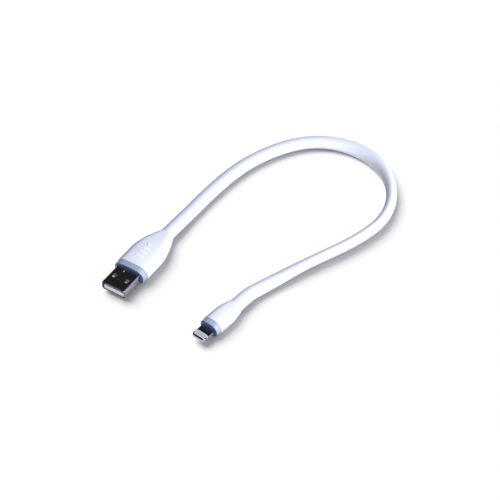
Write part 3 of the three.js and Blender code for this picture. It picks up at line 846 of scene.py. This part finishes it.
ribPiece = bpy.data.objects.new("usb_boot_ribs", bpy.data.meshes.new("usb_boot_ribs"))
bpy.context.collection.objects.link(ribPiece)
ribStart = usbPlace @ Vector((0, ribs["from"], usbBoot["height"] / 2)) * mm
runTree(
    ribPiece,
    ribTree(),
    {
        "Count": ribs["count"],
        "Pitch": ribs["pitch"] * mm,
        "Length": ribs["longest"] * mm,
        "Shorten": ribs["shorterBy"] * mm,
        "Thickness": ribs["thick"] * mm,
        "Rise": ribs["rise"] * mm,
        "Bluntness": ribs["blunt"],
        "Start": ribStart,
        # the ribs' whiter colour is painted highlight
        "Material": materials["polishedHighlightElastomer"],
    },
)
tidyMesh(ribPiece, 60)
finishPiece(ribPiece, "white_elastomer")
print("ribs made:", len(ribPiece.data.polygons), "faces")

# the plated sleeve
sleeve = {
    "width": 12, "height": 4.5, "corner": 0.7, "wall": 0.3, "front": -14.75, "rear": 4.0,
    "edge": 0.06, "rimDepth": 0.2, "seam": 0.12, "windowWidth": 2.3, "windowLength": 2.1,
    "windowCorner": 0.3, "windowFromTip": 4.6, "windowApart": 6.2,
    "dimpleRadius": 0.55, "dimpleDepth": 0.2, "dimpleFromTip": 9.7, "dimpleOffset": -0.9,
}


def sleevePiece():
    w, h, c, wall = (sleeve[k] for k in ("width", "height", "corner", "wall"))
    front, rear, reach = sleeve["front"], sleeve["rear"], sleeve["height"]
    outer, inner = (w, h, c, 0, 0), (w - 2 * wall, h - 2 * wall, c - wall, 0, 0)
    sections = [(front, *outer), (rear, *outer), (rear, *inner), (front, *inner)]
    tube = ringSkin("usb_sleeve", sections, usbPlace, "nickelSteel")
    cutters = []
    middle = front + sleeve["windowFromTip"] + sleeve["windowLength"] / 2
    for side in (-1, 1):
        outline = [
            (x + side * sleeve["windowApart"] / 2, y + middle)
            for x, y in roundedRing(
                sleeve["windowWidth"], sleeve["windowLength"], sleeve["windowCorner"]
            )
        ]
        cutters.append(steelBar("window", outline, -reach, reach, usbPlace, flat=True))
    s = sleeve["seam"] / 2
    slit = [(-s, -reach), (s, -reach), (s, 0), (-s, 0)]
    cutters.append(steelBar("seam", slit, front - 1, rear + 1, usbPlace, flat=False))
    r, d = sleeve["dimpleRadius"], sleeve["dimpleDepth"]
    ballRadius = (r * r + d * d) / (2 * d)
    centre = (sleeve["dimpleOffset"], front + sleeve["dimpleFromTip"], h / 2 + ballRadius - d)
    cutters.append(ball("dimple", ballRadius, usbPlace @ Vector(centre) * mm))
    carve(tube, cutters, sleeve["edge"])
    # the sleeve's rim takes the painted shade
    paintFront(tube, usbPlace, "shadedRimSteel", reach=front + sleeve["rimDepth"], facing=0.6)
    return tube


def ball(name, radius, centre):
    shape = bmesh.new()
    bmesh.ops.create_uvsphere(
        shape, u_segments=64, v_segments=64, radius=radius * mm, matrix=Matrix.Translation(centre)
    )
    mesh = bpy.data.meshes.new(name)
    shape.to_mesh(mesh)
    shape.free()
    mesh.materials.append(materials["nickelSteel"])
    piece = bpy.data.objects.new(name, mesh)
    bpy.context.collection.objects.link(piece)
    return piece


finishPiece(sleevePiece(), "plated_steel", "usb_shell")
print("sleeve made")

# the blade of the tab plug
blade = {
    "width": 6.7, "thickness": 1.5, "front": -10.0, "rear": 3.0, "corner": 1.3, "edge": 0.28,
    "notchRadius": 0.55, "notchDepth": 0.3, "notchFromTip": 2.7,
    "paneWidth": 5.5, "paneLength": 2.7, "paneCorner": 0.3, "paneFromTip": 0.9,
    "slotWidth": 5.42, "slotHeight": 0.72,
}


def bladeOutline():
    # anticlockwise from the rear, with a notch in each side and two rounded corners at the tip
    half, front, c = blade["width"] / 2, blade["front"], blade["corner"]
    r, depth = blade["notchRadius"], blade["notchDepth"]
    notchY, reach = front + blade["notchFromTip"], math.acos((r - depth) / r)
    corner = [math.pi / 2 * i / 10 for i in range(11)]
    notch = [reach * (i / 5 - 1) for i in range(11)]
    leftNotch = [(-half - r + depth + r * math.cos(a), notchY - r * math.sin(a)) for a in notch]
    left = [(-half, blade["rear"]), *leftNotch]
    left += [(-half + c * (1 - math.cos(a)), front + c * (1 - math.sin(a))) for a in corner]
    return left + [(-x, y) for x, y in reversed(left)]


def bladePiece():
    t = blade["thickness"] / 2
    piece = steelBar("tab_blade_plate", bladeOutline(), -t, t, tabPlace, flat=True)
    soften = piece.modifiers.new("soften", "BEVEL")
    soften.width, soften.segments, soften.limit_method = blade["edge"] * mm, 4, "ANGLE"
    soften.angle_limit = math.radians(60)
    applyModifiers(piece)
    middle = blade["front"] + blade["paneFromTip"] + blade["paneLength"] / 2
    outline = [
        (x, y + middle)
        for x, y in roundedRing(blade["paneWidth"], blade["paneLength"], blade["paneCorner"], 5)
    ]
    window = steelBar("window", outline, -2 * t, 2 * t, tabPlace, flat=True)
    sw, sh = blade["slotWidth"] / 2, blade["slotHeight"] / 2
    channel = [(-sw, -sh), (sw, -sh), (sw, sh), (-sw, sh)]
    paneEnd = middle + blade["paneLength"] / 2  # the slot starts just inside the window
    slotBar = steelBar("slot", channel, paneEnd - 0.1, blade["rear"] + 1, tabPlace, flat=False)
    carve(piece, [window, slotBar])
    return piece


finishPiece(bladePiece(), "plated_steel", "tab_blade")
print("blade made")

# finishes of the pieces that keep their solids
nodeFinishes = [
    ("usb_insulator", "whiteNylon"),
    ("usb_contact", "goldFlash"),
    ("usb_inner_mould", "milkyPolyethylene"),
    ("usb_crimp", "tinnedFerrule"),
    ("cord_braid", "tinnedBraid"),
    ("wire_power_red", "redPvc"),
    ("wire_data_white", "whitePvc"),
    ("wire_data_green", "greenPvc"),
    ("wire_gprofileblack", "blackPvc"),
    ("tab_contact_carrier", "whiteNylon"),
    ("tab_contact_", "greyPlate"),
    ("tab_board", "greenBoard"),
    ("tab_control_chip", "blackEpoxy"),
    ("tab_power_chip", "blackEpoxy"),
    ("tab_capacitor", "tanCeramic"),
    ("tab_shield_can", "nickelSteel"),
    ("tab_inner_mould", "milkyPolyethylene"),
    ("tab_crimp", "tinnedFerrule"),
]
painted = 0
for nodeName, node in frame["nodes"].items():
    finish = next((f for start, f in nodeFinishes if nodeName.startswith(start)), None)
    if finish and not node.hide_render:
        for place in node.material_slots:
            place.link = "OBJECT"
            place.material = materials[finish]
        painted += 1
print("finishes given to", painted, "kept solids")

# floor, world and lights
stage = {
    "floorSize": 6,  # metres
    "floor": "#f7f5f3",
    "sky": "#f4f4f4",
    "skyStrength": 0.62,
    "dark": "#423c3b",
    "darkAzimuth": 250,
    "darkElevation": 28,
    "darkFrom": -0.35,
    "darkTo": 0.7,
    "middle": (0.035, 0.04, 0),  # where the lights aim
}


def makeFloor():
    h = stage["floorSize"] / 2
    mesh = bpy.data.meshes.new("floor")
    mesh.from_pydata([(-h, -h, 0), (h, -h, 0), (h, h, 0), (-h, h, 0)], [], [(0, 1, 2, 3)])
    floor = bpy.data.objects.new("floor", mesh)
    bpy.context.collection.objects.link(floor)
    paper = bpy.data.materials.new("paleFloor")
    paper.use_nodes = True
    shader = paper.node_tree.nodes["Principled BSDF"]
    shader.inputs["Base Color"].default_value = linearOf(stage["floor"])
    shader.inputs["Roughness"].default_value = 0.9
    shader.inputs["Specular IOR Level"].default_value = 0.1
    mesh.materials.append(paper)
    floor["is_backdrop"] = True
    return floor


def makeWorld():
    # a pale sky in front and a dark side behind, which the flat steel reflects
    world = bpy.data.worlds.new("studio")
    bpy.context.scene.world = world
    world.use_nodes = True
    tree = world.node_tree
    facing = addNode(tree, "ShaderNodeTexCoord").outputs["Generated"]
    towards = lookFrom(stage["darkAzimuth"], stage["darkElevation"])
    dot = addNode(
        tree, "ShaderNodeVectorMath", {"operation": "DOT_PRODUCT"}, {1: towards}, {0: facing}
    ).outputs["Value"]
    share = addNode(
        tree,
        "ShaderNodeMapRange",
        {"interpolation_type": "SMOOTHSTEP"},
        {"From Min": stage["darkFrom"], "From Max": stage["darkTo"]},
        {"Value": dot},
    ).outputs["Result"]
    mix = addNode(
        tree,
        "ShaderNodeMix",
        {"data_type": "RGBA"},
        {6: linearOf(stage["sky"]), 7: linearOf(stage["dark"])},
        {"Factor": share},
    )
    background = tree.nodes["Background"]
    background.inputs["Strength"].default_value = stage["skyStrength"]
    tree.links.new(mix.outputs[2], background.inputs["Color"])


lights = {
    # a broad lamp on the right that only the cable takes; size in metres
    "keyRight": {"kind": "AREA", "azimuth": 84, "elevation": 46, "energy": 11, "size": 0.5},
    # a soft light from the left that only the table takes, for the shadow; size in degrees
    "tableLight": {"kind": "SUN", "azimuth": 262, "elevation": 53, "energy": 3.5, "size": 55},
}


def addLight(name, receivers, reach=0.8):
    setting = lights[name]
    data = bpy.data.lights.new(name, setting["kind"])
    data.energy = setting["energy"]
    if setting["kind"] == "AREA":
        data.size = setting["size"]
    else:
        data.angle = math.radians(setting["size"])
    light = bpy.data.objects.new(name, data)
    away = lookFrom(setting["azimuth"], setting["elevation"])
    light.location = Vector(stage["middle"]) + away * reach
    light.rotation_euler = away.to_track_quat("Z", "Y").to_euler()
    bpy.context.collection.objects.link(light)
    lit = bpy.data.collections.new(name)
    for receiver in receivers:
        lit.objects.link(receiver)
    light.light_linking.receiver_collection = lit


floor = makeFloor()
makeWorld()
addLight("keyRight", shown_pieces())
addLight("tableLight", [floor])
bpy.context.scene.view_settings.view_transform = "Standard"
bpy.context.scene.view_settings.look = "None"
print("stage lit")
